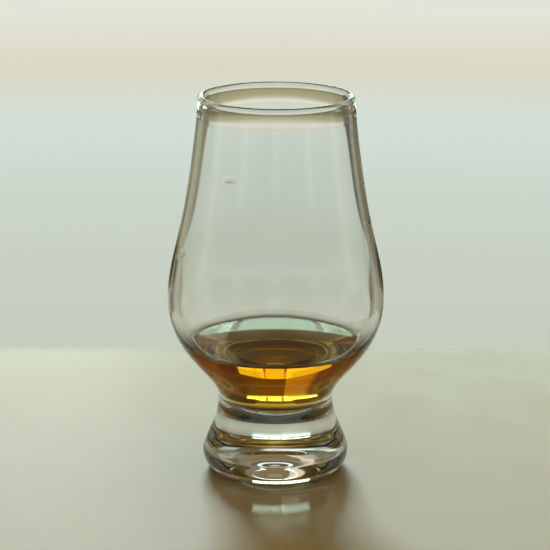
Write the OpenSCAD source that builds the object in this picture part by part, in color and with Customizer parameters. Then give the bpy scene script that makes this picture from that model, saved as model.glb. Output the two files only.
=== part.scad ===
// Whisky nosing glass: a thin tulip bowl hot-fused onto a solid pressed foot, with a pour in it.
// Millimetres, +Z up. The origin is the centre of the ring that the glass stands on, and every
// piece is turned about the Z axis from an outline in the X-Z plane.

/* [Overall] */
// Height from the table to the top of the rim
glass_h = 115; // [105:0.5:125]
// Widest diameter of the bowl
bowl_d = 65; // [60:0.5:70]
// Outside diameter of the rim
rim_d = 46.5; // [42:0.5:52]

/* [Bowl] */
// Height of the bowl's widest ring above the table
belly_z = 53.7; // [48:0.1:60]
// Inward lean of the neck where it meets the rim, in degrees
rim_lean = 5.2; // [2:0.1:8]
// Wall thickness at the rim, which is flame-rounded
rim_wall = 2; // [1.4:0.1:2.4]
// Wall thickness at the widest ring
belly_wall = 2; // [1.4:0.1:2.6]
// Wall thickness at the waist, where the bowl is at its narrowest
waist_wall = 6.5; // [5:0.1:8]
// Depth of the cavity's floor below the waist
cavity_sink = 4.6; // [3:0.1:7]
// Thickness of the closed bottom of the bowl, on the axis
floor_wall = 4; // [2.5:0.1:6]

/* [Waist] */
// Diameter at the waist, where bowl and foot are fused
waist_d = 34.5; // [32:0.1:38]
// Height of the waist above the table
waist_z = 22.4; // [19:0.1:26]

/* [Foot] */
// Widest diameter of the foot
foot_d = 44.3; // [40:0.1:50]
// Height of the foot's widest ring above the table
foot_z = 6.7; // [5:0.1:9]
// Outer diameter of the flat ring that it stands on
ring_d = 32; // [28:0.1:36]
// Inner diameter of that ring, where the hollow underneath begins
punt_d = 24; // [18:0.1:26]
// Height of the hollow underneath, on the axis
punt_h = 1.6; // [0.5:0.1:3]

/* [Pour] */
// Height of the whisky's level surface above the table
whisky_z = 39.6; // [32:0.1:46]
// Height that the whisky climbs at the wall
meniscus_h = 1.4; // [0.5:0.1:2.5]
// Width of that climb
meniscus_w = 3; // [1.5:0.1:4]

/* [Curves] */
// Upright stretch above the foot's widest ring, as a share of the rise to the waist
foot_up_share = 0.09; // [0.05:0.01:0.4]
// Upright stretch below the waist, as a share of the same rise
waist_down_share = 0.35; // [0.2:0.01:0.5]
// Upright stretch above the waist, as a share of the rise to the bowl's widest ring
waist_up_share = 0.26; // [0.15:0.01:0.4]
// Upright stretch below the bowl's widest ring, as a share of the same rise
belly_down_share = 0.585; // [0.4:0.005:0.7]
// Upright stretch above the bowl's widest ring, as a share of the rise to the rim
belly_up_share = 0.23; // [0.15:0.01:0.35]
// Straight lean of the neck below the rim, as a share of the same rise
neck_share = 0.72; // [0.5:0.01:0.8]
// Upright stretch of the wall's inside above the widest ring, as a share of the same rise
inner_up_share = 0.26; // [0.2:0.01:0.35]
// Straight lean of the wall's inside below the rim, as a share of the same rise
inner_neck_share = 0.62; // [0.5:0.01:0.72]
// Upright stretch below the foot's widest ring, as a share of its height
heel_up_share = 0.585; // [0.3:0.005:0.7]
// Level stretch outside the standing ring, as a share of the foot's overhang
heel_out_share = 0.83; // [0.5:0.01:0.9]
// Level stretch of the cavity's floor, as a share of its radius at the waist
floor_level_share = 0.5; // [0.4:0.01:0.7]
// Upright stretch of the cavity's side below the waist, as a share of the floor's depth there
floor_up_share = 0.4; // [0.3:0.01:0.6]
// Upright stretch of the cavity's side above the waist, as a share of the rise to the widest ring
throat_up_share = 0.33; // [0.25:0.01:0.4]
// Upright stretch of the cavity's side below the widest ring, as a share of the same rise
cavity_up_share = 0.625; // [0.5:0.005:0.7]
// Level stretches of the hollow underneath, as a share of its radius
punt_share = 0.45; // [0.2:0.01:0.6]
// Level stretch of the whisky's climb, as a share of its width
meniscus_level_share = 0.6; // [0.3:0.01:0.8]
// Steep stretch of the whisky's climb, as a share of its height, out and up alike
meniscus_steep_share = 0.45; // [0.2:0.01:0.6]

/* [Hidden] */
$fn = 96;
// Straight steps along each long curve, each short curve and the rounded lip
long_steps = 20;
short_steps = 10;
lip_steps = 8;
half_turn = 180;

// Radii and rings that several outlines share
belly_r = bowl_d / 2;
waist_r = waist_d / 2;
foot_r = foot_d / 2;
ring_r = ring_d / 2;
punt_r = punt_d / 2;
cavity_r = belly_r - belly_wall;
cavity_z = waist_z - cavity_sink;
seat_z = cavity_z - floor_wall;
lip_r = rim_wall / 2;
lip_centre = [rim_d / 2 - lip_r, glass_h - lip_r];
lean_across = [cos(rim_lean), sin(rim_lean)];
lean_down = [sin(rim_lean), -cos(rim_lean)];
rim_outer = lip_centre + lip_r * lean_across;
rim_inner = lip_centre - lip_r * lean_across;

// The point at a share t of the way from a to b
function along(a, b, t) = a + (b - a) * t;

// One point of the smooth curve that its control points pull towards them
function curve_point(p, t) =
    len(p) == 1 ? p[0] : curve_point([for (i = [1:len(p) - 1]) along(p[i - 1], p[i], t)], t);

// The whole curve, in equal steps
function curve(p, steps) = [for (i = [0:steps]) curve_point(p, i / steps)];

// The same outline run the other way
function reversed(p) = [for (i = [len(p) - 1:-1:0]) p[i]];

// All but the first point, where an outline joins one that already holds it
function rest(p) = [for (i = [1:len(p) - 1]) p[i]];

// Side of the foot below its widest ring, from the standing ring outwards and up
heel = curve([
    [ring_r, 0],
    [ring_r + heel_out_share * (foot_r - ring_r), 0],
    [foot_r, foot_z - heel_up_share * foot_z],
    [foot_r, foot_z]
], short_steps);

// Side of the foot from its widest ring in to the waist
foot_rise = waist_z - foot_z;
foot_side = curve([
    [foot_r, foot_z],
    [foot_r, foot_z + foot_up_share * foot_rise],
    [waist_r, waist_z - waist_down_share * foot_rise],
    [waist_r, waist_z]
], long_steps);

// Underside of the bowl, from the waist out to the widest ring
bowl_rise = belly_z - waist_z;
bowl_underside = curve([
    [waist_r, waist_z],
    [waist_r, waist_z + waist_up_share * bowl_rise],
    [belly_r, belly_z - belly_down_share * bowl_rise],
    [belly_r, belly_z]
], long_steps);

// Outside of the bowl, from the widest ring up the neck to the rim
neck_rise = glass_h - belly_z;
bowl_outside = curve([
    [belly_r, belly_z],
    [belly_r, belly_z + belly_up_share * neck_rise],
    rim_outer + neck_share * neck_rise * lean_down,
    rim_outer
], long_steps);

// Rim, rounded over by the flame from the outside to the inside
lip = [for (i = [0:lip_steps])
    let (a = rim_lean + half_turn * i / lip_steps) lip_centre + lip_r * [cos(a), sin(a)]];

// Inside of the neck, from the widest ring up to the rim
neck_inside = curve([
    [cavity_r, belly_z],
    [cavity_r, belly_z + inner_up_share * neck_rise],
    rim_inner + inner_neck_share * neck_rise * lean_down,
    rim_inner
], long_steps);

// Round floor of the cavity, from the axis out to the ring level with the waist
throat = [waist_r - waist_wall, waist_z];
cavity_floor = curve([
    [0, cavity_z],
    [floor_level_share * throat[0], cavity_z],
    [throat[0], waist_z - floor_up_share * cavity_sink],
    throat
], short_steps);

// Side of the cavity, from that ring out to the widest ring
cavity_side = curve([
    throat,
    [throat[0], waist_z + throat_up_share * bowl_rise],
    [cavity_r, belly_z - cavity_up_share * bowl_rise],
    [cavity_r, belly_z]
], long_steps);
cavity = concat(cavity_floor, rest(cavity_side));

// Fused face between bowl and foot: a round dish from the axis out to the waist
seat_sag = waist_z - seat_z;
seat_r = (waist_r * waist_r + seat_sag * seat_sag) / (seat_sag + seat_sag);
seat_angle = 2 * atan(seat_sag / waist_r);
seat = [for (i = [0:short_steps])
    let (a = seat_angle * i / short_steps) [seat_r * sin(a), seat_z + seat_r * (1 - cos(a))]];

// Shallow hollow under the foot, from the axis out to the standing ring
punt = curve([
    [0, punt_h],
    [punt_share * punt_r, punt_h],
    [punt_r - punt_share * punt_r, 0],
    [punt_r, 0]
], short_steps);

// Part of the cavity that the whisky wets, up to the ring where it ends on the wall
wet_z = whisky_z + meniscus_h;
wet_count = len([for (p = cavity) if (p[1] < wet_z) p]);
below = cavity[wet_count - 1];
above = cavity[wet_count];
wet_ring = along(below, above, (wet_z - below[1]) / (above[1] - below[1]));
wetted = [for (i = [0:wet_count]) i < wet_count ? cavity[i] : wet_ring];

// Surface of the whisky, level in the middle and climbing to the wall
meniscus = curve([
    [wet_ring[0] - meniscus_w, whisky_z],
    [wet_ring[0] - meniscus_w + meniscus_level_share * meniscus_w, whisky_z],
    wet_ring - meniscus_steep_share * meniscus_h * [1, 1],
    wet_ring
], short_steps);

// Blown tulip bowl: closed round bottom, thin wall and flame-rounded rim
module bowl() {
    color([0.84, 0.89, 0.86, 0.4]) rotate_extrude()
        polygon(concat(bowl_underside, rest(bowl_outside), rest(lip), rest(reversed(neck_inside)),
            rest(reversed(cavity)), seat));
}

// Solid pressed foot: dished top that carries the bowl, waist, round heel and shallow hollow
module foot() {
    color([0.8, 0.86, 0.83, 0.5]) rotate_extrude()
        polygon(concat(seat, rest(reversed(foot_side)), rest(reversed(heel)), reversed(punt)));
}

// Pour of whisky: it fills the round bottom of the bowl and climbs a little at the wall
module whisky() {
    color([0.72, 0.36, 0.05, 0.8]) rotate_extrude()
        polygon(concat(wetted, rest(reversed(meniscus)), [[0, whisky_z]]));
}

bowl();
foot();
whisky();
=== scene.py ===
# %% [markdown]
# # A whisky nosing glass
#
# This lesson dresses one small glass: a thin tulip bowl, hot-fused onto a short solid foot, with a
# pour of whisky in it. Clear glass has no colour of its own to paint. Nearly all that we see in it is
# its surroundings, bent and mirrored by its walls, so most of the work goes into three things: the
# exact shape of both sides of the wall, the way light is lost in the liquid, and a quiet studio round
# the glass whose pale and dark parts draw its edges.

# %% Load the fixed frame
import math

import bpy
import numpy as np
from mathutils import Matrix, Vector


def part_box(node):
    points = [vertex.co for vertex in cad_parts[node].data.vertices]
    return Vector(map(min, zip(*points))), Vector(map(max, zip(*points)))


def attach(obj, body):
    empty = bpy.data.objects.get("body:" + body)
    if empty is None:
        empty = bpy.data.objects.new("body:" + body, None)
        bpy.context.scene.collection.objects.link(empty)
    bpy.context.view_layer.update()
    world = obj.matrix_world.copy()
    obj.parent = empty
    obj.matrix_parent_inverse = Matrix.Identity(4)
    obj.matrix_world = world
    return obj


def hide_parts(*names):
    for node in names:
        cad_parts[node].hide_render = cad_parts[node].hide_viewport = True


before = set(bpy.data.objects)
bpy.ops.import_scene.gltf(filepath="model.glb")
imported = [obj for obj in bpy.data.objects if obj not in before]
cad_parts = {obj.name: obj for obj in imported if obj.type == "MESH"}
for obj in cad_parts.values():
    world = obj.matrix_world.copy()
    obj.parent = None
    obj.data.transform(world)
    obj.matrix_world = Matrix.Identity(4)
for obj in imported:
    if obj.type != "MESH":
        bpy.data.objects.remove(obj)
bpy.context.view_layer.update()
MM = 0.001
print("nodes:", sorted(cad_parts))

# %% [markdown]
# ## Sizes
#
# The driving sizes come from the frame: each node's box gives a height or a radius. The sizes that a
# box cannot give, such as a wall or the width of the standing ring, are written here in real
# millimetres, as the maker of the glass would give them.

# %% Sizes of the glass
bowl_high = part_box("bowl")[1]
foot_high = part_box("foot")[1]
whisky_low, whisky_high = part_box("whisky")

GLASS_TOP = bowl_high.z
BOWL_RADIUS = bowl_high.x
FOOT_RADIUS = foot_high.x
WAIST_HEIGHT = foot_high.z
CAVITY_FLOOR = whisky_low.z
MENISCUS_TOP = whisky_high.z

BELLY_HEIGHT = 53.7 * MM
RIM_RADIUS = 23.25 * MM
RIM_LEAN = math.radians(5.2)
RIM_WALL = 2.0 * MM
BELLY_WALL = 2.0 * MM
WAIST_WALL = 6.5 * MM
WAIST_RADIUS = 17.25 * MM
FOOT_WIDEST_HEIGHT = 6.7 * MM
RING_OUTER = 16.0 * MM
RING_INNER = 12.0 * MM
PUNT_HEIGHT = 1.6 * MM
MENISCUS_CLIMB = 1.4 * MM
MENISCUS_WIDTH = 3.0 * MM
print(f"glass {GLASS_TOP / MM:.1f} mm tall and {2 * BOWL_RADIUS / MM:.1f} mm across the bowl")

# %% [markdown]
# ## Shares
#
# Each curve of the glass leaves its ends upright, level or at the rim's lean. How far it keeps that
# way before it turns is a share of the rise, the overhang or the radius that it covers. These shares
# are what makes a tulip out of a tube, so they have names of their own.

# %% Shares of the curves
PUNT_SHARE = 0.45
HEEL_OUT_SHARE = 0.83
HEEL_UP_SHARE = 0.585
FOOT_UP_SHARE = 0.09
WAIST_DOWN_SHARE = 0.35
WAIST_UP_SHARE = 0.26
BELLY_DOWN_SHARE = 0.585
BELLY_UP_SHARE = 0.23
NECK_SHARE = 0.72
INNER_UP_SHARE = 0.26
INNER_NECK_SHARE = 0.62
FLOOR_LEVEL_SHARE = 0.5
FLOOR_UP_SHARE = 0.4
THROAT_UP_SHARE = 0.33
CAVITY_UP_SHARE = 0.625
MENISCUS_LEVEL_SHARE = 0.6
MENISCUS_STEEP_SHARE = 0.45

# %% [markdown]
# ## Curves for a turned outline
#
# A blown and pressed glass is a body of revolution, so its whole form is one outline in a plane
# through the axis. Each stretch of the outline is a cubic Bezier curve: two end points, and two
# more points that say which way the glass leaves each end and how soon it starts to turn. Arcs and
# straight lines could be used too, but cubics meet smoothly, as molten glass does.


# %% Curve helpers
def cubic(start, leave, arrive, end, steps):
    """Points of a cubic Bezier curve: with t from 0 to 1, the sum of start times (1-t) cubed, leave
    times 3t(1-t) squared, arrive times 3t squared (1-t), and end times t cubed. steps is a number of
    equal steps in t, or the values of t themselves."""
    t = (np.linspace(0, 1, steps + 1) if isinstance(steps, int) else steps)[:, None]
    corners = [np.array(p, float) for p in (start, leave, arrive, end)]
    weights = ((1 - t) ** 3, 3 * t * (1 - t) ** 2, 3 * t**2 * (1 - t), t**3)
    return sum(w * p for w, p in zip(weights, corners))


def smooth(value, low, high):
    """0 below low, 1 above high, and 3t squared minus 2t cubed between."""
    t = np.clip((value - low) / (high - low), 0, 1)
    return t * t * (3 - 2 * t)


def normals(outline):
    """Unit normals of an outline, to the right of its direction of travel."""
    along = np.gradient(outline, axis=0)
    along /= np.linalg.norm(along, axis=1)[:, None]
    return np.stack([along[:, 1], -along[:, 0]], 1)


def joined(*stretches):
    """One outline from several that each start where the last one ends."""
    return np.vstack([stretches[0]] + [s[1:] for s in stretches[1:]])


# %% [markdown]
# ## The foot's outline
#
# The outline of the whole glass starts on the axis under the foot. It runs through the shallow hollow
# that keeps the glass from rocking, over the flat ring that it stands on, round the heel and in to the
# waist.

# %% Outline of the foot
PUNT_STEPS = 20
HEEL_STEPS = 26
FOOT_STEPS = 36


def outside_of_foot():
    """From the axis underneath, through the shallow hollow, the flat ring, the heel and the side."""
    level = PUNT_SHARE * RING_INNER
    punt = cubic(
        (0, PUNT_HEIGHT), (level, PUNT_HEIGHT), (RING_INNER - level, 0), (RING_INNER, 0), PUNT_STEPS
    )
    heel = cubic(
        (RING_OUTER, 0),
        (RING_OUTER + HEEL_OUT_SHARE * (FOOT_RADIUS - RING_OUTER), 0),
        (FOOT_RADIUS, (1 - HEEL_UP_SHARE) * FOOT_WIDEST_HEIGHT),
        (FOOT_RADIUS, FOOT_WIDEST_HEIGHT),
        HEEL_STEPS,
    )
    rise = WAIST_HEIGHT - FOOT_WIDEST_HEIGHT
    side = cubic(
        (FOOT_RADIUS, FOOT_WIDEST_HEIGHT),
        (FOOT_RADIUS, FOOT_WIDEST_HEIGHT + FOOT_UP_SHARE * rise),
        (WAIST_RADIUS, WAIST_HEIGHT - WAIST_DOWN_SHARE * rise),
        (WAIST_RADIUS, WAIST_HEIGHT),
        FOOT_STEPS,
    )
    return np.vstack([punt, joined(heel, side)])


foot_outline = outside_of_foot()
print(f"foot: {len(foot_outline)} points")

# %% [markdown]
# ## The rim
#
# A blown bowl is cut off at its mouth and the edge is melted round by a flame. The melted lip draws
# itself up into a bead a hair thicker than the neck, and the neck just under it is left thinner. That
# change of thickness makes a wedge of glass, and a wedge bends what is seen through it: here it shows
# the darker wall above the background, as an olive band under the rim. A bump in the material could
# fake the band from one side only, so the gather is made in the outline.

# %% Rim and gathered neck
BEAD_WIDTH = 1.8 * MM
BEAD_SWELL = 0.02 * MM
FOLD_WIDTH = 0.6 * MM
GATHER_REACH = 6.6 * MM
FADE_REACH = 36.0 * MM
OUTER_GATHER = 0.16 * MM
INNER_GATHER = 0.36 * MM
GATHER_POWER = 1.4
LIP_STEPS = 17

LEAN_ACROSS = np.array([math.cos(RIM_LEAN), math.sin(RIM_LEAN)])
LEAN_DOWN = np.array([math.sin(RIM_LEAN), -math.cos(RIM_LEAN)])
LIP_RADIUS = RIM_WALL / 2 + BEAD_SWELL
RIM_CENTRE = np.array([RIM_RADIUS - RIM_WALL / 2, GLASS_TOP - LIP_RADIUS])
RIM_OUTER_EDGE = RIM_CENTRE + RIM_WALL / 2 * LEAN_ACROSS
RIM_INNER_EDGE = RIM_CENTRE - RIM_WALL / 2 * LEAN_ACROSS


def rounded_rim():
    """Half circle of the bead's thickness, from its outer edge over the top to its inner edge."""
    angle = RIM_LEAN + np.linspace(0, math.pi, LIP_STEPS)
    return RIM_CENTRE + LIP_RADIUS * np.stack([np.cos(angle), np.sin(angle)], 1)


def gathered(face, depth):
    """How far a face of the neck stands out of its plain curve: minus depth a little below the rim,
    rising to 0 at the bead's lower edge by the height to the gather's power, then a short fold out to
    the bead's swell. Further down the neck it fades to 0."""
    z = face[:, 1]
    low, high = GLASS_TOP - GATHER_REACH, GLASS_TOP - BEAD_WIDTH
    spread = np.clip((z - low) / (high - low), 0, 1) ** GATHER_POWER
    fade = smooth(z, low - FADE_REACH, low)
    fold = smooth(z, high - FOLD_WIDTH / 2, high + FOLD_WIDTH / 2)
    return (depth * (spread - 1) * fade + BEAD_SWELL * fold)[:, None]


print(f"lip: {2 * LIP_RADIUS / MM:.2f} mm thick")

# %% [markdown]
# ## The bowl's outline
#
# Outside and inside of the bowl have curves of their own, because the wall is not even: thick at the
# waist, where the glass was gathered, and thinning steadily up to the neck. That taper matters as much
# as the outside. The neck's steps are close together near the rim, where the gather turns quickly.

# %% Outside of the bowl
BOWL_STEPS = 48
PLAIN_POINTS = 36
GATHER_POINTS = 20
BEAD_POINTS = 36
GATHER_SHARE = 0.88
BEAD_SHARE = 0.975
NECK_STEPS = np.concatenate(
    [
        np.linspace(0, GATHER_SHARE, PLAIN_POINTS),
        np.linspace(GATHER_SHARE, BEAD_SHARE, GATHER_POINTS)[1:],
        np.linspace(BEAD_SHARE, 1, BEAD_POINTS)[1:],
    ]
)
BOWL_RISE = BELLY_HEIGHT - WAIST_HEIGHT
NECK_RISE = GLASS_TOP - BELLY_HEIGHT


def outside_of_bowl():
    """From the waist out to the belly and up the neck to the rim's outer edge."""
    underside = cubic(
        (WAIST_RADIUS, WAIST_HEIGHT),
        (WAIST_RADIUS, WAIST_HEIGHT + WAIST_UP_SHARE * BOWL_RISE),
        (BOWL_RADIUS, BELLY_HEIGHT - BELLY_DOWN_SHARE * BOWL_RISE),
        (BOWL_RADIUS, BELLY_HEIGHT),
        BOWL_STEPS,
    )
    neck = cubic(
        (BOWL_RADIUS, BELLY_HEIGHT),
        (BOWL_RADIUS, BELLY_HEIGHT + BELLY_UP_SHARE * NECK_RISE),
        RIM_OUTER_EDGE + NECK_SHARE * NECK_RISE * LEAN_DOWN,
        RIM_OUTER_EDGE,
        NECK_STEPS,
    )
    return joined(underside, neck + gathered(neck, OUTER_GATHER) * normals(neck))


bowl_outline = outside_of_bowl()
print(f"outside of the bowl: {len(bowl_outline)} points")

# %% Inside of the bowl
FLOOR_STEPS = 24
CAVITY_RADIUS = BOWL_RADIUS - BELLY_WALL


def inside_of_neck():
    """From the belly up to the rim's inner edge."""
    neck = cubic(
        (CAVITY_RADIUS, BELLY_HEIGHT),
        (CAVITY_RADIUS, BELLY_HEIGHT + INNER_UP_SHARE * NECK_RISE),
        RIM_INNER_EDGE + INNER_NECK_SHARE * NECK_RISE * LEAN_DOWN,
        RIM_INNER_EDGE,
        NECK_STEPS,
    )
    return neck - gathered(neck, INNER_GATHER) * normals(neck)


def inside_of_bowl():
    """The cavity, from its floor on the axis out and up to the belly."""
    throat = WAIST_RADIUS - WAIST_WALL
    sink = WAIST_HEIGHT - CAVITY_FLOOR
    floor = cubic(
        (0, CAVITY_FLOOR),
        (FLOOR_LEVEL_SHARE * throat, CAVITY_FLOOR),
        (throat, WAIST_HEIGHT - FLOOR_UP_SHARE * sink),
        (throat, WAIST_HEIGHT),
        FLOOR_STEPS,
    )
    side = cubic(
        (throat, WAIST_HEIGHT),
        (throat, WAIST_HEIGHT + THROAT_UP_SHARE * BOWL_RISE),
        (CAVITY_RADIUS, BELLY_HEIGHT - CAVITY_UP_SHARE * BOWL_RISE),
        (CAVITY_RADIUS, BELLY_HEIGHT),
        BOWL_STEPS,
    )
    return joined(floor, side)


cavity = inside_of_bowl()
print(f"cavity: {len(cavity)} points")

# %% Outline of the whole glass
glass_outline = joined(foot_outline, bowl_outline, rounded_rim(), inside_of_neck()[::-1], cavity[::-1])
print(f"glass outline: {len(glass_outline)} points")

# %% [markdown]
# ## Turning an outline into a mesh
#
# Blender could turn the outline with its Screw modifier. Here the surface is worked out directly,
# as one array of points on a grid of angle by outline, so that the two ends can close on single
# points at the axis and every face points outwards.

# %% Points and faces of a turned outline
AROUND = 224


def turned_points(outline):
    """The point at outline index i and angle a is (r cos a, r sin a, z). The first and last outline
    points lie on the axis and become single poles, listed last."""
    angle = np.linspace(0, 2 * math.pi, AROUND, endpoint=False)
    ring = np.stack([np.cos(angle), np.sin(angle)], 1)
    middle = outline[1:-1]
    points = np.empty((len(middle), AROUND, 3))
    points[..., :2] = middle[:, None, :1] * ring
    points[..., 2] = middle[:, 1:2]
    poles = np.array([[0, 0, outline[0, 1]], [0, 0, outline[-1, 1]]])
    return np.vstack([points.reshape(-1, 3), poles])


def turned_faces(rings):
    """Each quad joins two neighbours of one ring to the same two of the next ring, and a fan closes
    each end on its pole. Faces wind so that they point away from the solid, which lies to the left of
    the outline's direction of travel."""
    row = np.arange(AROUND)
    after = np.roll(row, -1)
    base = AROUND * np.arange(rings - 1)[:, None]
    quads = np.stack([base + row, base + after, base + after + AROUND, base + row + AROUND], -1)
    last = AROUND * (rings - 1)
    first_pole = AROUND * rings
    start_fan = np.stack([np.full(AROUND, first_pole), after, row], -1)
    end_fan = np.stack([np.full(AROUND, first_pole + 1), last + row, last + after], -1)
    return quads.reshape(-1, 4).tolist() + start_fan.tolist() + end_fan.tolist()


# %% Mesh from a turned outline
def make_crisp(mesh, ring):
    """Marks the edges along one ring as sharp: both ends of such an edge lie in that ring."""
    ends = np.empty(2 * len(mesh.edges), int)
    mesh.edges.foreach_get("vertices", ends)
    ring_of = ends.reshape(-1, 2) // AROUND
    sharp = (ring_of[:, 0] == ring) & (ring_of[:, 1] == ring)
    mesh.attributes.new("sharp_edge", "BOOLEAN", "EDGE").data.foreach_set("value", sharp)


def turned(name, outline, crisp_point=None):
    """An object from an outline. crisp_point is the place in the outline of a crisp edge."""
    vertices = turned_points(outline)
    faces = turned_faces(len(outline) - 2)
    mesh = bpy.data.meshes.new(name)
    mesh.from_pydata(vertices.tolist(), [], faces)
    mesh.polygons.foreach_set("use_smooth", np.ones(len(mesh.polygons), bool))
    if crisp_point is not None:
        make_crisp(mesh, crisp_point - 1)
    mesh.update()
    piece = bpy.data.objects.new(name, mesh)
    bpy.context.scene.collection.objects.link(piece)
    triangles = sum(len(f) - 2 for f in faces)
    print(f"{name}: {len(vertices)} vertices, {triangles} triangles")
    return piece


# %% [markdown]
# ## The glass
#
# Bowl and foot are fused hot, so no surface is left between them: light passes from one to the other
# as if they were one piece. Two closed meshes face to face would show a mirror-like skin at the
# joint, so one closed mesh stands for both.

# %% Glass piece
glass = turned("glass", glass_outline)
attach(glass, "root")
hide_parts("bowl", "foot")

# %% [markdown]
# ## The whisky
#
# The pour wets the inside of the wall. If its mesh stopped just short of the glass, there would be a
# film of air between them and the side would look silvery. It is made a few hundredths of a
# millimetre larger than the cavity instead, so that light goes from glass to whisky with no air
# between, and bends by the ratio of the two as it does in life. Its top is level in the middle and
# climbs to the wall, and the ring where it ends on the wall is a crisp edge.

# %% Outline of the whisky
WETTING = 0.04 * MM
LEVEL_POINTS = 12
CLIMB_STEPS = 26


def wetted_wall():
    """The cavity up to the ring where the whisky ends, moved outwards by the wetting overlap."""
    count = int(np.argmax(cavity[:, 1] > MENISCUS_TOP))
    below, above = cavity[count - 1], cavity[count]
    share = (MENISCUS_TOP - below[1]) / (above[1] - below[1])
    wall = np.vstack([cavity[:count], below + share * (above - below)])
    moved = wall + WETTING * normals(wall)
    moved[0, 0] = 0
    return moved


def climbing_surface(edge):
    """From the level middle out to the ring on the wall, up the meniscus."""
    level = MENISCUS_TOP - MENISCUS_CLIMB
    start = edge[0] - MENISCUS_WIDTH
    middle = np.stack([np.linspace(0, start, LEVEL_POINTS), np.full(LEVEL_POINTS, level)], 1)
    steep = MENISCUS_STEEP_SHARE * MENISCUS_CLIMB
    climb = cubic(
        (start, level),
        (start + MENISCUS_LEVEL_SHARE * MENISCUS_WIDTH, level),
        (edge[0] - steep, edge[1] - steep),
        edge,
        CLIMB_STEPS,
    )
    return joined(middle, climb)


# %% Whisky piece
wall = wetted_wall()
surface = climbing_surface(wall[-1])
whisky = turned("pour", joined(wall, surface[::-1]), crisp_point=len(wall) - 1)
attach(whisky, "root")
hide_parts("whisky")

# %% [markdown]
# ## Shader maths as Python
#
# A material is a graph of nodes. Written out node by node it hides the thought behind it, so one
# small class wraps a socket and lets us write the maths as an expression. Each operator adds one
# Math node, and the method `node` adds any other.


# %% Colours and ramp stops
def opaque(colour):
    """A colour of three numbers with its fourth, and anything else as it is."""
    return (*colour, 1) if isinstance(colour, tuple) else colour


def set_stops(places, stops):
    """Puts stops of (position, colour) on a ramp. New stops start in its middle and are then moved."""
    while len(places) < len(stops):
        places.new(0.5)
    for place, (position, colour) in zip(places, stops):
        place.position = position
        place.color = opaque(colour)


# %% Socket class
class Value:
    """One output socket, on which Python's operators add Math nodes. A Value that is made with a tree
    and no socket stands for the tree, and only its method node is used."""

    def __init__(self, tree, socket=None):
        self.tree = tree
        self.socket = socket

    def node(self, kind, settings=None, inputs=None, out=0):
        """Adds a node of that type, sets its settings, such as an operation or a ramp's stops, then
        its sockets, by name or place, from values or links, and gives one of its outputs."""
        node = self.tree.nodes.new(kind)
        for name, setting in (settings or {}).items():
            if name == "stops":
                set_stops(node.color_ramp.elements, setting)
            else:
                setattr(node, name, setting)
        for name, value in (inputs or {}).items():
            if isinstance(value, Value):
                self.tree.links.new(value.socket, node.inputs[name])
            else:
                node.inputs[name].default_value = value
        return Value(self.tree, node.outputs[out]) if node.outputs else None

    def sibling(self, name):
        """Another output of the same node."""
        return Value(self.tree, self.socket.node.outputs[name])

    def math(self, operation, first, second=0.0):
        """A Math node on one or two numbers or values."""
        return self.node("ShaderNodeMath", {"operation": operation}, {0: first, 1: second})

    def __add__(self, other):
        return self.math("ADD", self, other)

    def __mul__(self, other):
        return self.math("MULTIPLY", self, other)

    def __sub__(self, other):
        return self.math("SUBTRACT", self, other)

    def __rsub__(self, other):
        return self.math("SUBTRACT", other, self)

    def __truediv__(self, other):
        return self.math("DIVIDE", self, other)

    def __rtruediv__(self, other):
        return self.math("DIVIDE", other, self)

    def __abs__(self):
        return self.math("ABSOLUTE", self)

    __radd__ = __add__
    __rmul__ = __mul__

    def clipped(self, low, high):
        """Held between low and high."""
        return self.math("MINIMUM", self.math("MAXIMUM", self, low), high)

    def between(self, low, high):
        """0 below low, 1 above high, and smooth between."""
        settings = {"interpolation_type": "SMOOTHSTEP"}
        inputs = {"Value": self, "From Min": low, "From Max": high}
        return self.node("ShaderNodeMapRange", settings, inputs, out="Result")


# %% [markdown]
# ## Helpers for finishes
#
# A few steps come back in every finish: an empty material, the X, Y and Z of a point on the piece,
# noise in three dimensions, a blend of two colours and the closing output node. Object coordinates
# are used throughout, because they stay with the piece.


# %% Finish helpers
def new_material(name):
    """An empty material, and a Value that stands for its tree."""
    material = bpy.data.materials.new(name)
    material.use_nodes = True
    material.node_tree.nodes.clear()
    return material, Value(material.node_tree)


def object_place(tree):
    """Object coordinates, in metres."""
    return tree.node("ShaderNodeTexCoord", out="Object")


def axes(place):
    """The X, Y and Z of a vector."""
    split = place.node("ShaderNodeSeparateXYZ", inputs={"Vector": place})
    return [split.sibling(axis) for axis in "XYZ"]


def noise(place, scale, detail):
    """Soft noise round 0.5: lumps of about 1 over scale metres, with finer ones over them."""
    inputs = {"Vector": place, "Scale": scale, "Detail": detail}
    return place.node("ShaderNodeTexNoise", inputs=inputs, out="Fac")


def blend(share, one, other):
    """One colour where the share is 0, the other where it is 1."""
    inputs = {"Factor": share, 6: opaque(one), 7: opaque(other)}
    return share.node("ShaderNodeMix", {"data_type": "RGBA"}, inputs, out=2)


def shader_blend(share, one, other):
    """One shader where the share is 0, the other where it is 1."""
    return share.node("ShaderNodeMixShader", inputs={0: share, 1: one, 2: other})


# %% [markdown]
# ## Clear glass
#
# Soda-lime glass bends light by about 1.52. Blown walls are never quite even, so a broad, very
# shallow ripple goes into the normal, and a used glass has faint smears that dull its gloss a little.
# It also has a few short scratches. Real ones are far finer than a mesh could carry, so each is a
# small step in the bump: the skin rises over a third of a millimetre and falls back slowly above,
# which bends the light behind it into a short dark line.

# %% Scratches
STEP_HALF_WIDTH = 0.18 * MM
FALL_START = 0.25 * MM
FALL_END = 2.0 * MM
FULL_SHARE = 0.3
FRONT_END = -4.0 * MM
BACK_START = -1.0 * MM
SCRATCH_DEPTH = 0.13 * MM
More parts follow.
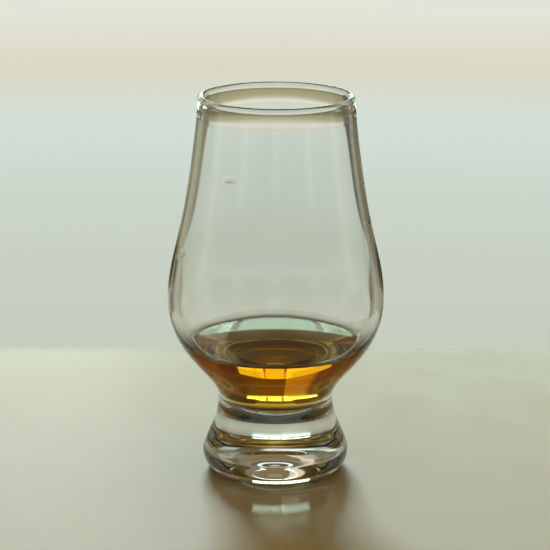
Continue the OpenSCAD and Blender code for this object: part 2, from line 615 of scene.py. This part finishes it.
# Place across and up, half length, tilt, and share of the full depth
SCRATCHES = (
    (-13.1 * MM, 93.2 * MM, 2.4 * MM, 0.1, 1.0),
    (-27.9 * MM, 68.6 * MM, 1.6 * MM, 0.9, 0.25),
    (27.4 * MM, 77.5 * MM, 2.2 * MM, -0.12, 0.2),
)


def scratch(x, y, z, across, up, reach, tilt):
    """A short step in the skin on the front of the bowl, centred at (across, up) and tilted: 0 below
    it, 1 just above it, and soon back to 0."""
    run = x - across
    aside = z - up - run * tilt
    step = aside.between(-STEP_HALF_WIDTH, STEP_HALF_WIDTH) * (1 - aside.between(FALL_START, FALL_END))
    within = 1 - abs(run).between(FULL_SHARE * reach, reach)
    return step * within * (1 - y.between(FRONT_END, BACK_START))


# %% Glass finish
GLASS_INDEX = 1.52
GLASS_TINT = (0.985, 0.99, 0.975)
RIPPLE_SCALE = 38
RIPPLE_DETAIL = 1
RIPPLE_HEIGHT = 0.4 * MM
RIPPLE_STRENGTH = 0.08
SMEAR_SCALE = 90
SMEAR_DETAIL = 3
SMEAR_SPAN = (0.58, 0.8)
SMEAR_ROUGHNESS = 0.03


def clear_glass():
    material, tree = new_material("clear_glass")
    place = object_place(tree)
    x, y, z = axes(place)
    ripple = noise(place, RIPPLE_SCALE, RIPPLE_DETAIL)
    smear = noise(place, SMEAR_SCALE, SMEAR_DETAIL).between(*SMEAR_SPAN)
    marks = sum(scratch(x, y, z, *spot) * depth for *spot, depth in SCRATCHES)
    uneven = tree.node(
        "ShaderNodeBump", inputs={"Height": ripple, "Strength": RIPPLE_STRENGTH, "Distance": RIPPLE_HEIGHT}
    )
    height = marks * SCRATCH_DEPTH
    worn = tree.node(
        "ShaderNodeBump", inputs={"Height": height, "Strength": 1.0, "Distance": 1.0, "Normal": uneven}
    )
    skin = tree.node(
        "ShaderNodeBsdfPrincipled",
        inputs={
            "Base Color": opaque(GLASS_TINT),
            "Roughness": smear * SMEAR_ROUGHNESS,
            "IOR": GLASS_INDEX,
            "Transmission Weight": 1,
            "Normal": worn,
        },
    )
    tree.node("ShaderNodeOutputMaterial", inputs={"Surface": skin})
    return material


glass.data.materials.append(clear_glass())
print("glass finish with", len(SCRATCHES), "scratches")

# %% [markdown]
# ## Whisky
#
# The colour of a spirit is not on its surface. Light is taken out along its whole way through, blue
# first and red last, so a thin edge is straw yellow and the deep middle is amber. Plain absorption
# does this with one colour and one density.

# %% Whisky finish
WHISKY_INDEX = 1.36
WHISKY_COLOUR = (0.924, 0.73, 0.01)
SURFACE_COLOUR = (1.0, 1.0, 1.0)
WHISKY_DENSITY = 130


def aged_whisky():
    material, tree = new_material("aged_whisky")
    skin = tree.node(
        "ShaderNodeBsdfPrincipled",
        inputs={
            "Base Color": opaque(SURFACE_COLOUR),
            "Roughness": 0,
            "IOR": WHISKY_INDEX,
            "Transmission Weight": 1,
        },
    )
    loss = tree.node(
        "ShaderNodeVolumeAbsorption", inputs={"Color": opaque(WHISKY_COLOUR), "Density": WHISKY_DENSITY}
    )
    tree.node("ShaderNodeOutputMaterial", inputs={"Surface": skin, "Volume": loss})
    return material


whisky.data.materials.append(aged_whisky())
print(f"whisky: index {WHISKY_INDEX}, density {WHISKY_DENSITY} per metre")

# %% [markdown]
# ## The table
#
# The glass stands on a wide flat table with a satin varnish that mirrors the foot softly. Looked at
# from above, such a table shows its own brown wood. At a shallow angle its varnish mirrors the bright
# window, and that sheen is painted in as a pale colour. Layer Weight tells the two apart, by the angle
# between the surface and the line of sight, and mixes the deep wood shader with the painted sheen one.
# The table's far side ends in a soft edge, because a hard line behind clear glass would draw the eye.

# %% Table top
TABLE_REACH = 900 * MM
TABLE_BACK = 128 * MM
TABLE_DROP = 0.02 * MM


def level_sheet(name, left, right, front, back, height):
    """A flat level sheet."""
    corners = [(left, front, height), (right, front, height), (right, back, height), (left, back, height)]
    mesh = bpy.data.meshes.new(name)
    mesh.from_pydata(corners, [], [(0, 1, 2, 3)])
    piece = bpy.data.objects.new(name, mesh)
    bpy.context.scene.collection.objects.link(piece)
    return piece


table = level_sheet("table", -TABLE_REACH, TABLE_REACH, -TABLE_REACH, TABLE_BACK, -TABLE_DROP)
print(f"table: {2 * TABLE_REACH:.1f} m wide")

# %% Table finish
VARNISH_INDEX = 1.5
DEEP_COLOUR = (0.07, 0.05, 0.022)
# Painted sheen: a pale colour that stands in for the bright window mirrored by the varnish at a shallow
# angle.
PAINTED_SHEEN_COLOUR = (0.57, 0.42, 0.2)
PAINTED_SHEEN_FACING = (0.35, 0.62)
VARNISH_ROUGHNESS = 0.16
GRAIN_SCALE = 60
GRAIN_DETAIL = 4
GRAIN_SPAN = (0.2, 0.8)
GRAIN_ROUGHNESS = 0.06
EDGE_START = 13 * MM
EDGE_END = 1 * MM


def varnished_table():
    material, tree = new_material("pale_table")
    place = object_place(tree)
    away = axes(place)[1]
    grain = noise(place, GRAIN_SCALE, GRAIN_DETAIL).between(*GRAIN_SPAN)
    gloss = {"Roughness": grain * GRAIN_ROUGHNESS + VARNISH_ROUGHNESS, "IOR": VARNISH_INDEX}
    deep = tree.node("ShaderNodeBsdfPrincipled", inputs={"Base Color": opaque(DEEP_COLOUR), **gloss})
    # Painted sheen: this shader's pale base colour stands in for the window mirrored by the varnish; its
    # gloss is real.
    painted_sheen = tree.node("ShaderNodeBsdfPrincipled", inputs={"Base Color": opaque(PAINTED_SHEEN_COLOUR), **gloss})
    facing = tree.node("ShaderNodeLayerWeight", inputs={"Blend": 0.5}, out="Facing")
    # The wood's own brown where the table is seen from above, the painted sheen where it is seen at a
    # shallow angle.
    varnish = shader_blend(facing.between(*PAINTED_SHEEN_FACING), deep, painted_sheen)
    nothing = tree.node("ShaderNodeBsdfTransparent")
    past_edge = away.between(TABLE_BACK - EDGE_START, TABLE_BACK - EDGE_END)
    tree.node("ShaderNodeOutputMaterial", inputs={"Surface": shader_blend(past_edge, varnish, nothing)})
    return material


table.data.materials.append(varnished_table())
print(f"table varnish: roughness about {VARNISH_ROUGHNESS + GRAIN_ROUGHNESS / 2:.2f}")

# %% [markdown]
# ## The studio
#
# A clear edge shows only if something dark stands beside what is behind the glass. The world is
# therefore drawn by direction, as a round studio: `rise` is the angle above the horizon and `turn` the
# angle from straight behind the glass towards its right, both in degrees. The studio could be built
# from lit cards, but a drawn world is smooth, has no noise and stays in place from all sides.
#
# Walls are ramps of colour over rise. The wall behind the glass is pale below and olive at the
# horizon, the cards beside it are dark, and all share one dim ceiling.

# %% Directions in the studio
world = bpy.data.worlds.new("studio")
bpy.context.scene.world = world
world.use_nodes = True
world.node_tree.nodes.clear()
studio = Value(world.node_tree)

x, y, z = axes(studio.node("ShaderNodeTexCoord", out="Generated"))
IN_DEGREES = 180 / math.pi
rise = studio.math("ARCSINE", z) * IN_DEGREES
turn = studio.math("ARCTAN2", x, y) * IN_DEGREES


def band(value, low, high, soft):
    """1 between low and high, 0 outside, with borders that run from soft below to soft above each."""
    return value.between(low - soft, low + soft) * (1 - value.between(high - soft, high + soft))


# %% Colours of the panels
CEILING = ((36.0, (0.16, 0.14, 0.09)), (56.0, (0.09, 0.07, 0.04)), (70.0, (0.6, 0.52, 0.36)))
BACK_WALL = (
    (-24.0, (0.60, 0.63, 0.53)),
    (-16.7, (0.565, 0.604, 0.514)),
    (-13.1, (0.591, 0.665, 0.578)),
    (-11.0, (0.658, 0.745, 0.686)),
    (-9.8, (0.70, 0.68, 0.55)),
    (-7.9, (0.79, 0.80, 0.71)),
    (-6.6, (0.42, 0.40, 0.24)),
    (-4.0, (0.28, 0.26, 0.14)),
    (0.0, (0.12, 0.12, 0.06)),
    (3.0, (0.5, 0.53, 0.46)),
    (14.0, (0.6, 0.65, 0.6)),
    (18.0, (0.2, 0.17, 0.11)),
    (24.0, (0.24, 0.23, 0.15)),
    (29.0, (0.3, 0.3, 0.22)),
)
OTHER_WALLS = ((-16.0, (0.45, 0.47, 0.40)), (14.0, (0.45, 0.48, 0.43)), (18.0, (0.2, 0.15, 0.09)))

# %% Colours of the cards
LEFT_CARD = (
    (-16.0, (0.36, 0.34, 0.23)),
    (-11.0, (0.20, 0.18, 0.10)),
    (4.0, (0.15, 0.09, 0.05)),
    (16.0, (0.30, 0.18, 0.10)),
    (22.0, (0.25, 0.17, 0.10)),
    (26.0, (0.42, 0.46, 0.38)),
)
RIGHT_CARD = (
    (-20.0, (0.16, 0.15, 0.10)),
    (-14.0, (0.07, 0.062, 0.04)),
    (4.0, (0.09, 0.06, 0.035)),
    (16.0, (0.19, 0.11, 0.06)),
    (22.0, (0.19, 0.12, 0.07)),
    (26.0, (0.24, 0.24, 0.16)),
)

# %% Ramps up each wall
RAMP_LOW = -30
RAMP_HIGH = 70
level = (rise - RAMP_LOW) * (1 / (RAMP_HIGH - RAMP_LOW))


def up_wall(colours):
    """The colour at this rise, from (rise, colour) pairs with the ceiling's after them."""
    stops = [((at - RAMP_LOW) / (RAMP_HIGH - RAMP_LOW), colour) for at, colour in (*colours, *CEILING)]
    return studio.node("ShaderNodeValToRGB", {"stops": stops}, {"Fac": level}, out="Color")


print("colours up the back wall:", len(BACK_WALL) + len(CEILING))

# %% [markdown]
# ## Panels and cards
#
# The studio has eight directions with a pale panel in each, so that the glass stands before a plain
# background from any of them, and a dark card in each gap. The panel behind the glass is the widest.
# Its upper corners are cut off by the cards, which carries the olive band under the rim down at both
# sides, as in the photograph. The other panels melt into their cards over many degrees, because hard
# borders would show as stripes in the bowl.

# %% Panels and cards
SECTORS = 8
SECTOR = 360 / SECTORS
BACK_PANEL_END = (22.0, 23.0)
BACK_WALL_END = (30.0, 32.0)
BACK_PANEL_HALF = 12.4
BACK_PANEL_SOFT = 2.0
PANEL_HALF = 4.0
PANEL_SOFT = 12.0
CORNER_START = -13.0
CORNER_SLOPE = 1.4
CORNER_CUT = 5.0
# Low edge, high edge and softness, in degrees, as in every band below
WIDE_CARD_TURN = (20.0, 42.0, 3.0)
CARD_CHANGE = (-1.0, 1.0)

off = studio.math("MODULO", turn + (SECTORS + 0.5) * SECTOR, SECTOR) - SECTOR / 2
elsewhere = abs(turn).between(*BACK_PANEL_END)
behind = 1 - abs(turn).between(*BACK_WALL_END)
corner = ((rise - CORNER_START) * CORNER_SLOPE).clipped(0.0, CORNER_CUT)
half = BACK_PANEL_HALF - (BACK_PANEL_HALF - PANEL_HALF) * elsewhere
soft = BACK_PANEL_SOFT + (PANEL_SOFT - BACK_PANEL_SOFT) * elsewhere
share = ((abs(off) + corner - half) / soft).clipped(0.0, 1.0)
eased = share * share * (3 - 2 * share)
in_card = studio.math("MAXIMUM", eased, band(turn, *WIDE_CARD_TURN))

panels = blend(behind, up_wall(OTHER_WALLS), up_wall(BACK_WALL))
cards = blend(off.between(*CARD_CHANGE), up_wall(LEFT_CARD), up_wall(RIGHT_CARD))
walls = blend(in_card, panels, cards)
print("sectors:", SECTORS)

# %% [markdown]
# ## Patches on the walls
#
# Some parts of the glass look at one small part of the studio only. The olive strip inside the left
# side of the neck, the pale bands in the foot and the quiet dark behind the camera each come from a
# patch of their own. They were placed by following light from the camera through the outline.

# %% Patches on the walls
LEFT_FLANK_TURN = (-38.0, -27.0, 2.0)
LEFT_FLANK_RISE = (-13.0, -4.0, 1.5)
LEFT_FLANK_COLOUR = (0.42, 0.41, 0.26)
SKYLIGHT_TURN = (-75.0, 9.0, 5.0)
SKYLIGHT_RISE = (45.3, 51.0, 1.0)
SKYLIGHT_BEND = 0.2
SKYLIGHT_COLOUR = (1.0, 1.15, 1.1)
HIGH_PANEL_RISE = (38.0, 46.0, 3.0)
HIGH_PANEL_END = (10.0, 15.0)
HIGH_PANEL_COLOUR = (0.5, 0.55, 0.45)
SHADE_START = (105.0, 112.0)
SHADE_RISE = (5.0, 40.0, 2.0)
SHADE_COLOUR = (0.05, 0.045, 0.03)

flank = band(turn, *LEFT_FLANK_TURN) * band(rise, *LEFT_FLANK_RISE)
walls = blend(flank, walls, LEFT_FLANK_COLOUR)
bent_rise = rise + SKYLIGHT_BEND * abs(turn)
skylight = band(bent_rise, *SKYLIGHT_RISE) * band(turn, *SKYLIGHT_TURN)
walls = blend(skylight, walls, SKYLIGHT_COLOUR)
high_panel = band(rise, *HIGH_PANEL_RISE) * (1 - behind) * (1 - abs(off).between(*HIGH_PANEL_END))
walls = blend(high_panel, walls, HIGH_PANEL_COLOUR)
shade = abs(turn).between(*SHADE_START) * band(rise, *SHADE_RISE)
walls = blend(shade, walls, SHADE_COLOUR)
print("patches: 4")

# %% [markdown]
# ## The window
#
# The bright bars in the whisky and the pale light on its surface are images of one window behind the
# glass. It has three panes with two bars between them and a fainter third one. Above it is a strip of
# lit wall with a dark post in its middle. The lower corners of the window are rounded off, so that its
# light does not reach the two ends of the rim, and the side panes are dimmer at the top, where the
# surface of the whisky mirrors them.

# %% Window and the wall above it
WINDOW_TURN = (-21.0, 13.0, 0.5)
WINDOW_BOTTOM = (1.6, 2.4)
WINDOW_TOP = (13.3, 14.1)
TUCK_TURN = (6.0, 9.0)
TUCK = 3.5
GLOW_TURN = (-15.0, 12.0, 2.0)
GLOW_RISE = (13.7, 29.0, 0.6)
GLOW_MIDDLE_START = (15.0, 18.0)
GLOW_HIGH_START = (21.0, 25.0)
GLOW_RIGHT_START = (-3.0, 3.0)
POST_TURN = (-3.8, 3.4, 0.4)
POST_COLOUR = (0.23, 0.16, 0.08)
GLOW_LOW = (0.95, 0.9, 0.8)
GLOW_MIDDLE = (0.80, 0.67, 0.52)
GLOW_HIGH = (0.5, 0.44, 0.34)
GLOW_RIGHT = (0.22, 0.19, 0.12)

tuck = abs(turn).between(*TUCK_TURN) * TUCK
window = (rise - tuck).between(*WINDOW_BOTTOM) * (1 - rise.between(*WINDOW_TOP))
window = window * band(turn, *WINDOW_TURN)
glow = blend(rise.between(*GLOW_MIDDLE_START), GLOW_LOW, GLOW_MIDDLE)
glow = blend(rise.between(*GLOW_HIGH_START), glow, GLOW_HIGH)
glow = blend(turn.between(*GLOW_RIGHT_START), glow, GLOW_RIGHT)
glow = blend(band(turn, *POST_TURN), glow, POST_COLOUR)
in_glow = band(rise, *GLOW_RISE) * behind * band(turn, *GLOW_TURN)
lit_walls = blend(in_glow, walls, glow)
print(f"window: {WINDOW_TURN[1] - WINDOW_TURN[0]:.0f} degrees wide")

# %% Panes and bars
LEFT_PANE = (3.3, 4.4, 3.8)
MIDDLE_PANE = (2.2, 3.1, 2.4)
RIGHT_PANE = (3.0, 4.2, 3.5)
DIM_PANE = (1.8, 2.7, 1.9)
MIDDLE_START = (-3.3, -3.1)
RIGHT_START = (3.5, 3.8)
DIM_START = (9.8, 10.8)
CLEAR_TURN = (-5.4, 4.6, 0.8)
LEFT_BAR = (-3.6, -2.8, 0.2)
RIGHT_BAR = (3.3, 4.0, 0.2)
FAINT_BAR = (6.6, 7.2, 0.3)
FAINT_SHARE = 0.5
BAR_COLOUR = (0.5, 0.5, 0.42)
BAR_TOP_COLOUR = (1.3, 1.6, 1.3)

head = rise.between(*DIM_START)
panes = blend(turn.between(*MIDDLE_START), LEFT_PANE, MIDDLE_PANE)
panes = blend(turn.between(*RIGHT_START), panes, RIGHT_PANE)
panes = blend(head * (1 - band(turn, *CLEAR_TURN)), panes, DIM_PANE)
bars = band(turn, *RIGHT_BAR) + band(turn, *LEFT_BAR) + band(turn, *FAINT_BAR) * FAINT_SHARE
bar = blend(head, BAR_COLOUR, BAR_TOP_COLOUR)
lit = blend(window, lit_walls, panes)
lit = blend(window * bars, lit, bar)
sky = studio.node("ShaderNodeBackground", inputs={"Color": lit, "Strength": 1.0})
studio.node("ShaderNodeOutputWorld", inputs={"Surface": sky})
print("studio:", len(world.node_tree.nodes), "nodes")

# %% [markdown]
# ## Daylight
#
# One soft lamp stands where the window is, and a little higher. It lights the table and lets the
# glass throw its shadow towards the camera, as in the photograph. What the glass mirrors and bends is
# the drawn window, so the lamp itself is hidden from the camera, reflections and refractions. Its
# light is bluish, because the sheen painted on the table is warm and the table should look nearly
# neutral.

# %% Daylight lamp
LAMP_DISTANCE = 2.5
LAMP_RISE = math.radians(21)
LAMP_TURN = math.radians(-6)
LAMP_WIDTH = 0.7
LAMP_HEIGHT = 0.42
LAMP_POWER = 310.0
LAMP_COLOUR = (0.335, 0.54, 1.0)

lamp_data = bpy.data.lights.new("daylight", "AREA")
lamp_data.shape = "RECTANGLE"
lamp_data.size = LAMP_WIDTH
lamp_data.size_y = LAMP_HEIGHT
lamp_data.energy = LAMP_POWER
lamp_data.color = LAMP_COLOUR
lamp = bpy.data.objects.new("daylight", lamp_data)
lamp_level = LAMP_DISTANCE * math.cos(LAMP_RISE)
lamp.location = (
    lamp_level * math.sin(LAMP_TURN),
    lamp_level * math.cos(LAMP_TURN),
    LAMP_DISTANCE * math.sin(LAMP_RISE),
)
lamp.rotation_euler = (-(math.pi / 2 - LAMP_RISE), 0, -LAMP_TURN)
lamp.visible_glossy = False
lamp.visible_transmission = False
lamp.visible_camera = False
bpy.context.scene.collection.objects.link(lamp)
print(f"lamp: {LAMP_POWER:.0f} W at {LAMP_DISTANCE} m")

# %% [markdown]
# ## Camera
#
# A long lens, a little over half a metre away and looking 15 degrees down. Its place was fitted
# together with the outline, to the silhouette and to the ellipses of the rim and the whisky.

# %% Camera
CAMERA_ACROSS = -0.27 * MM
CAMERA_BACK = 645.24 * MM
CAMERA_HEIGHT = 233.31 * MM
CAMERA_DOWN = math.radians(15.02)
CAMERA_LENS = 145.67
CAMERA_SENSOR = 36
CAMERA_FAR = 100
CAMERA_ROLL = math.radians(0.22)

lens = bpy.data.cameras.new("camera")
lens.lens = CAMERA_LENS
lens.sensor_width = CAMERA_SENSOR
lens.clip_end = CAMERA_FAR
camera = bpy.data.objects.new("camera", lens)
bpy.context.scene.collection.objects.link(camera)
camera.location = (CAMERA_ACROSS, -CAMERA_BACK, CAMERA_HEIGHT)
camera.rotation_euler = (math.pi / 2 - CAMERA_DOWN, 0, 0)
camera.rotation_euler.rotate_axis("Z", CAMERA_ROLL)
bpy.context.scene.camera = camera
print(f"camera: {CAMERA_LENS} mm lens, {CAMERA_BACK / MM:.0f} mm back")

# %% [markdown]
# ## Light through glass
#
# A ray that crosses the glass, the whisky and the glass again passes many surfaces, and each one can
# split it. With too few bounces such places turn black, so the limits are raised for transmission.

# %% Rendering of glass
LIGHT_BOUNCES = 24
GLOSSY_BOUNCES = 8

scene = bpy.context.scene
scene.view_settings.view_transform = "Standard"
scene.cycles.max_bounces = LIGHT_BOUNCES
scene.cycles.transmission_bounces = LIGHT_BOUNCES
scene.cycles.glossy_bounces = GLOSSY_BOUNCES
scene.cycles.use_denoising = True
print("bounces:", scene.cycles.max_bounces)
